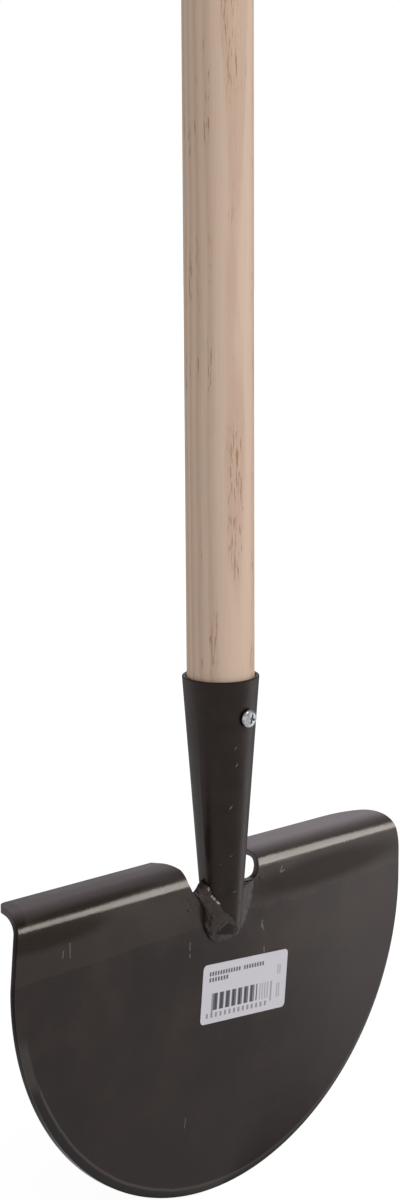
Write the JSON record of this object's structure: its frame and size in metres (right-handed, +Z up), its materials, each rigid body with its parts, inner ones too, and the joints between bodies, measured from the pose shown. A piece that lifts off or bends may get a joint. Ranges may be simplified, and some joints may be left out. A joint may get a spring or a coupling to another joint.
{
  "type": "half-moon lawn edger",
  "caption": "Half-moon lawn edger: bent steel blade with foot treads, welded conical socket, and a straight ash handle with a wedged T-grip.",
  "frame": {"origin": "on the handle's axis, level with the lowest point of the blade's cutting edge", "axes": "+Z up along the handle, +Y from the blade's front face towards the treads' back edges, +X along the blade's width"},
  "size_m": [0.2326, 0.036, 1.05],
  "materials": {
    "lacquered_steel": "dark brown-black semi-gloss lacquer over hot-rolled steel",
    "lacquered_weld": "weld bead under the same dark lacquer, uneven",
    "zinc_plate": "bright zinc plate",
    "ash": "sanded, unvarnished ash",
    "wedge_wood": "end-driven hardwood wedge, unvarnished",
    "label_paper": null
  },
  "bodies": {
    "root": {"blade": "lacquered_steel", "socket": "lacquered_steel", "front_weld": "lacquered_weld", "rear_weld": "lacquered_weld", "socket_screw": "zinc_plate", "handle_shaft": "ash", "grip_crosspiece": "ash", "grip_wedge": "wedge_wood", "grip_pin": "zinc_plate", "label": "label_paper"}
  },
  "joints": []
}
